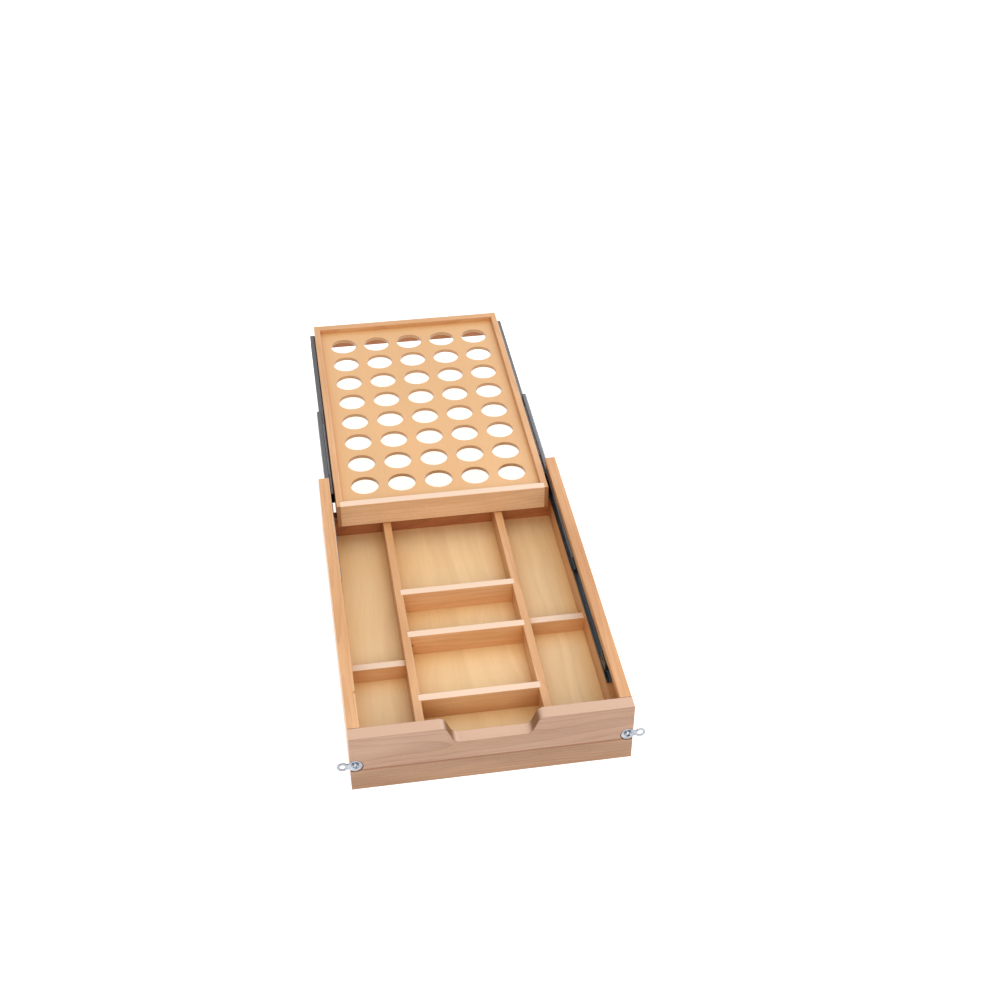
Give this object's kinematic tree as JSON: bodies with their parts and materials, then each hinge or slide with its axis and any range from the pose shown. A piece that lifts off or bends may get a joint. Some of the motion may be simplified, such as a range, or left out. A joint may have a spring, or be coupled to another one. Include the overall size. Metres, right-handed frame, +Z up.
{
  "type": "two-tier drawer insert",
  "caption": "Wooden two-tier drawer insert: an upper tray of round pod holes slides on ball-bearing runners over a low box with divided compartments.",
  "frame": {"origin": "middle of the underside of the front base rail, halfway through its thickness", "axes": "+Z up, +Y from the front towards the rear, +X to the right of someone facing the front"},
  "size_m": [0.403, 0.9961, 0.093],
  "materials": {
    "beech_front": "clear satin lacquer on solid beech",
    "beech_boards": "clear satin lacquer on solid beech",
    "beech_dividers": "clear satin lacquer on solid beech",
    "birch_ply": "clear satin lacquer on birch plywood",
    "dowel_wood": "bare turned beech",
    "dark_zinc": "dark grey zinc plated steel",
    "cage_steel": "bare spring steel",
    "ball_steel": "polished ball steel",
    "bright_zinc": "bright zinc plated steel",
    "black_plastic": "moulded matte black plastic"
  },
  "bodies": {
    "drawer_box": {"front_board": "beech_front", "front_base_rail": "beech_front", "rear_board": "beech_boards", "bottom_panel": "birch_ply", "front_dowels": "dowel_wood", "rear_dowels": "dowel_wood", "centre_cross_divider_front": "beech_dividers", "centre_cross_divider_middle": "beech_dividers", "centre_cross_divider_rear": "beech_dividers", "left_side": "beech_boards", "right_side": "beech_boards", "left_long_divider": "beech_dividers", "right_long_divider": "beech_dividers", "left_cross_divider": "beech_dividers", "right_cross_divider": "beech_dividers", "clip_screws": "bright_zinc", "outer_slide_screws": "bright_zinc", "left_slide_outer": "dark_zinc", "right_slide_outer": "dark_zinc", "left_slide_bumper": "black_plastic", "right_slide_bumper": "black_plastic"},
    "pod_tray": {"tray_front": "beech_front", "tray_rear": "beech_front", "tray_left_side": "beech_boards", "tray_right_side": "beech_boards", "pod_plate": "birch_ply", "tray_brads": "bright_zinc", "inner_slide_screws": "bright_zinc", "left_slide_inner": "dark_zinc", "right_slide_inner": "dark_zinc", "left_lever_pin": "bright_zinc", "right_lever_pin": "bright_zinc"},
    "left_slide_middle": {"left_slide_middle": "dark_zinc"},
    "left_outer_cage": {"left_outer_ball_cage": "cage_steel", "left_outer_balls": "ball_steel"},
    "left_inner_cage": {"left_inner_ball_cage": "cage_steel", "left_inner_balls": "ball_steel"},
    "left_release_lever": {"left_release_lever": "black_plastic"},
    "left_clip": {"left_clip": "bright_zinc"},
    "right_slide_middle": {"right_slide_middle": "dark_zinc"},
    "right_outer_cage": {"right_outer_ball_cage": "cage_steel", "right_outer_balls": "ball_steel"},
    "right_inner_cage": {"right_inner_ball_cage": "cage_steel", "right_inner_balls": "ball_steel"},
    "right_release_lever": {"right_release_lever": "black_plastic"},
    "right_clip": {"right_clip": "bright_zinc"}
  },
  "joints": [
    {"name": "tray_slide", "type": "slide", "parent": "drawer_box", "child": "pod_tray", "axis": [0, 1, 0], "range_m": [-0.4572, 0]},
    {"name": "left_slide_extend", "type": "slide", "parent": "drawer_box", "child": "left_slide_middle", "axis": [0, 1, 0], "range_m": [-0.2286, 0]},
    {"name": "left_outer_cage_roll", "type": "slide", "parent": "drawer_box", "child": "left_outer_cage", "axis": [0, 1, 0], "range_m": [-0.1143, 0]},
    {"name": "left_inner_cage_roll", "type": "slide", "parent": "drawer_box", "child": "left_inner_cage", "axis": [0, 1, 0], "range_m": [-0.3429, 0]},
    {"name": "left_lever_tilt", "type": "hinge", "parent": "pod_tray", "child": "left_release_lever", "pos_m": [-0.16525, 0.6687, 0.0655], "axis": [1, 0, 0], "range_deg": [-4, 4], "stiffness_Nm_per_rad": 0.02},
    {"name": "left_clip_turn", "type": "hinge", "parent": "drawer_box", "child": "left_clip", "pos_m": [-0.1776, -0.0082, 0.043], "axis": [0, 1, 0], "range_deg": [-20, 20]},
    {"name": "right_slide_extend", "type": "slide", "parent": "drawer_box", "child": "right_slide_middle", "axis": [0, 1, 0], "range_m": [-0.2286, 0]},
    {"name": "right_outer_cage_roll", "type": "slide", "parent": "drawer_box", "child": "right_outer_cage", "axis": [0, 1, 0], "range_m": [-0.1143, 0]},
    {"name": "right_inner_cage_roll", "type": "slide", "parent": "drawer_box", "child": "right_inner_cage", "axis": [0, 1, 0], "range_m": [-0.3429, 0]},
    {"name": "right_lever_tilt", "type": "hinge", "parent": "pod_tray", "child": "right_release_lever", "pos_m": [0.16525, 0.6687, 0.0655], "axis": [1, 0, 0], "range_deg": [-4, 4], "stiffness_Nm_per_rad": 0.02},
    {"name": "right_clip_turn", "type": "hinge", "parent": "drawer_box", "child": "right_clip", "pos_m": [0.1776, -0.0082, 0.043], "axis": [0, 1, 0], "range_deg": [-20, 20]}
  ],
  "couplings": [
    {"joint": "left_slide_extend", "follows": "tray_slide", "ratio": 0.5},
    {"joint": "left_outer_cage_roll", "follows": "tray_slide", "ratio": 0.25},
    {"joint": "left_inner_cage_roll", "follows": "tray_slide", "ratio": 0.75},
    {"joint": "right_slide_extend", "follows": "tray_slide", "ratio": 0.5},
    {"joint": "right_outer_cage_roll", "follows": "tray_slide", "ratio": 0.25},
    {"joint": "right_inner_cage_roll", "follows": "tray_slide", "ratio": 0.75}
  ]
}
